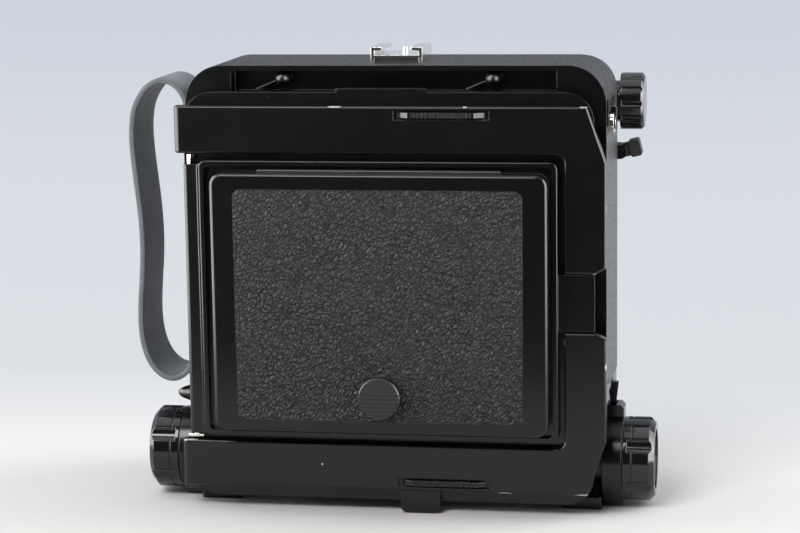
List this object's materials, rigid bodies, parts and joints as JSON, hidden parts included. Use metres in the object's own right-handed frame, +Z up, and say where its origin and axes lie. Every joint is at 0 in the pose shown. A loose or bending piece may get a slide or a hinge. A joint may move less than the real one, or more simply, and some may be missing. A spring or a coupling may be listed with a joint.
{
  "type": "large format field camera",
  "caption": "Folding metal field camera for sheet film, closed, with revolving spring back, focusing hood, side focusing knobs and a carrying strap.",
  "frame": {"origin": "centre of the tripod socket's mouth, on the floor plane", "axes": "+X to the right seen from behind the camera, +Y forward, the way the lens looks, +Z up"},
  "size_m": [0.2236, 0.1069, 0.1919],
  "materials": {
    "black_enamel": "gloss black stove enamel, soft sheen",
    "black_anodised": "black anodised, satin",
    "body_leather": "fine pebble grain covering, dark grey",
    "strap_leather": "smooth dark grey strap leather",
    "knob_black": "gloss black moulding",
    "matte_black": "matt black",
    "plated": "bright nickel plate",
    "steel": "bright steel",
    "brass": "turned brass",
    "glass": "finely ground one side",
    "bellows_cloth": "black bellows cloth"
  },
  "bodies": {
    "base": {"base_plate": "black_enamel", "tripod_bush": "steel", "cheek_left": "black_enamel", "cheek_right": "black_enamel", "track_guides": "black_anodised", "shaft_bushes": "brass", "base_screws": "steel", "bed_hinge_pins": "steel"},
    "focus_lock": {"focus_lock_lever": "black_enamel"},
    "tilt_lock_left": {"tilt_lock_left": "black_enamel"},
    "focus_drive": {"focus_shaft": "steel", "focus_knob_left": "knob_black", "focus_knob_right": "knob_black"},
    "rack_drive": {"rack_shaft": "brass"},
    "track": {"focus_track": "black_anodised"},
    "standard": {"front_standard": "black_enamel", "bellows_middle": "bellows_cloth"},
    "rising_frame": {"lens_frame": "black_enamel", "lens_board": "black_anodised", "bellows_front": "bellows_cloth"},
    "board_latch": {"board_latch": "plated"},
    "rise_lock": {"rise_lock_knob": "knob_black"},
    "housing": {"body_housing": "black_enamel", "rear_frame": "black_enamel", "side_leathers": "body_leather", "top_leather": "body_leather", "bellows_frame": "black_anodised", "bellows_rear": "bellows_cloth", "accessory_shoe": "plated", "shoe_block": "matte_black", "strap": "strap_leather", "strap_screws": "steel", "wire_catches": "steel", "wall_lugs": "black_enamel", "strap_ring": "plated", "housing_screws": "steel"},
    "bed_catch": {"bed_catch_knob": "knob_black"},
    "release": {"release_lever": "matte_black"},
    "back": {"revolving_plate": "black_enamel", "revolving_ring": "black_anodised", "back_springs": "steel"},
    "top_lock": {"top_lock_plate": "black_enamel"},
    "bottom_lock": {"bottom_lock_plate": "black_enamel"},
    "spring_back": {"spring_back_frame": "black_enamel", "ground_glass": "glass", "glass_clips": "steel", "bail_pins": "plated", "hood_frame": "black_anodised"},
    "hood_lid": {"hood_cover": "black_enamel", "hood_leather": "body_leather"},
    "hood_catch": {"hood_catch_button": "matte_black"},
    "leaf_left": {"hood_leaf_left": "black_anodised"},
    "leaf_right": {"hood_leaf_right": "black_anodised"},
    "leaf_bottom": {"hood_leaf_bottom": "black_anodised"},
    "bed": {"bed_panel": "black_enamel", "bed_rails": "black_anodised", "bed_leather": "body_leather"},
    "brace_up": {"brace_upper": "steel"},
    "brace_low": {"brace_lower": "steel"}
  },
  "joints": [
    {"name": "rear_tilt", "type": "hinge", "parent": "base", "child": "housing", "pos_m": [0, -0.024, 0.0195], "axis": [1, 0, 0], "range_deg": [0, 15]},
    {"name": "back_turn", "type": "hinge", "parent": "housing", "child": "back", "pos_m": [0, -0.045, 0.09], "axis": [0, 1, 0], "continuous": true},
    {"name": "top_lock_slide", "type": "slide", "parent": "back", "child": "top_lock", "axis": [0, 0, 1], "range_m": [0, 0.004]},
    {"name": "bottom_lock_slide", "type": "slide", "parent": "back", "child": "bottom_lock", "axis": [0, 0, -1], "range_m": [0, 0.004]},
    {"name": "spring_back_lift", "type": "slide", "parent": "back", "child": "spring_back", "axis": [0, -1, 0], "range_m": [0, 0.014], "stiffness_N_per_m": 300, "springref_m": -0.01},
    {"name": "hood_open", "type": "hinge", "parent": "spring_back", "child": "hood_lid", "pos_m": [0, -0.0576, 0.1439], "axis": [-1, 0, 0], "range_deg": [0, 90]},
    {"name": "hood_catch_slide", "type": "slide", "parent": "hood_lid", "child": "hood_catch", "axis": [0, 0, -1], "range_m": [0, 0.003], "stiffness_N_per_m": 120, "springref_m": -0.002},
    {"name": "leaf_left_open", "type": "hinge", "parent": "spring_back", "child": "leaf_left", "pos_m": [-0.06905, -0.05915, 0.09], "axis": [0, 0, -1], "range_deg": [0, 90]},
    {"name": "leaf_right_open", "type": "hinge", "parent": "spring_back", "child": "leaf_right", "pos_m": [0.06305, -0.05915, 0.09], "axis": [0, 0, 1], "range_deg": [0, 90]},
    {"name": "leaf_bottom_open", "type": "hinge", "parent": "spring_back", "child": "leaf_bottom", "pos_m": [0, -0.05915, 0.0395], "axis": [1, 0, 0], "range_deg": [0, 90]},
    {"name": "bed_fold", "type": "hinge", "parent": "base", "child": "bed", "pos_m": [0, 0.033, 0.007], "axis": [-1, 0, 0], "range_deg": [0, 90]},
    {"name": "brace_upper_fold", "type": "hinge", "parent": "housing", "child": "brace_up", "pos_m": [0, 0.015, 0.1055], "axis": [1, 0, 0], "range_deg": [0, 42.25]},
    {"name": "brace_lower_fold", "type": "hinge", "parent": "bed", "child": "brace_low", "pos_m": [0, 0.024, 0.1066], "axis": [1, 0, 0], "range_deg": [-40.73, 0]},
    {"name": "track_run", "type": "slide", "parent": "base", "child": "track", "axis": [0, 1, 0], "range_m": [0, 0.016]},
    {"name": "standard_slide", "type": "slide", "parent": "base", "child": "standard", "axis": [0, 1, 0], "range_m": [0, 0.063]},
    {"name": "rack_turn", "type": "hinge", "parent": "base", "child": "rack_drive", "pos_m": [0, -0.012, 0.0195], "axis": [1, 0, 0], "range_deg": [0, 152.9]},
    {"name": "focus_turn", "type": "hinge", "parent": "base", "child": "focus_drive", "pos_m": [0, -0.024, 0.0195], "axis": [1, 0, 0], "range_deg": [-152.9, 0]},
    {"name": "focus_lock_turn", "type": "hinge", "parent": "base", "child": "focus_lock", "pos_m": [0.0893, -0.02, 0.037], "axis": [-1, 0, 0], "range_deg": [0, 20]},
    {"name": "tilt_lock_left_turn", "type": "hinge", "parent": "base", "child": "tilt_lock_left", "pos_m": [-0.0946, -0.022, 0.0428], "axis": [-1, 0, 0], "range_deg": [0, 90]},
    {"name": "front_rise", "type": "slide", "parent": "standard", "child": "rising_frame", "axis": [0, 0, 1], "range_m": [0, 0.015]},
    {"name": "board_latch_slide", "type": "slide", "parent": "rising_frame", "child": "board_latch", "axis": [0, 0, 1], "range_m": [0, 0.003]},
    {"name": "rise_lock_turn", "type": "hinge", "parent": "rising_frame", "child": "rise_lock", "pos_m": [0.066, -0.0015, 0.089], "axis": [1, 0, 0], "range_deg": [0, 180]},
    {"name": "bed_catch_turn", "type": "hinge", "parent": "bed", "child": "bed_catch", "pos_m": [0.09, 0.0276, 0.1645], "axis": [1, 0, 0], "range_deg": [0, 40], "stiffness_Nm_per_rad": 0.05},
    {"name": "release_press", "type": "hinge", "parent": "bed", "child": "release", "pos_m": [0.0887, 0.024, 0.1434], "axis": [0, 1, 0], "range_deg": [0, 15], "stiffness_Nm_per_rad": 0.03, "springref_deg": -2.86}
  ],
  "couplings": [
    {"joint": "leaf_left_open", "follows": "hood_open", "ratio": 1},
    {"joint": "leaf_right_open", "follows": "hood_open", "ratio": 1},
    {"joint": "leaf_bottom_open", "follows": "hood_open", "ratio": 1},
    {"joint": "brace_upper_fold", "follows": "bed_fold", "ratio": 0.46935},
    {"joint": "brace_lower_fold", "follows": "bed_fold", "ratio": -0.45249},
    {"joint": "track_run", "follows": "bed_fold", "m_per_rad": 0.010186},
    {"joint": "standard_slide", "follows": "bed_fold", "m_per_rad": 0.040107},
    {"joint": "rack_turn", "follows": "bed_fold", "ratio": 1.6977},
    {"joint": "focus_turn", "follows": "bed_fold", "ratio": -1.6977}
  ]
}
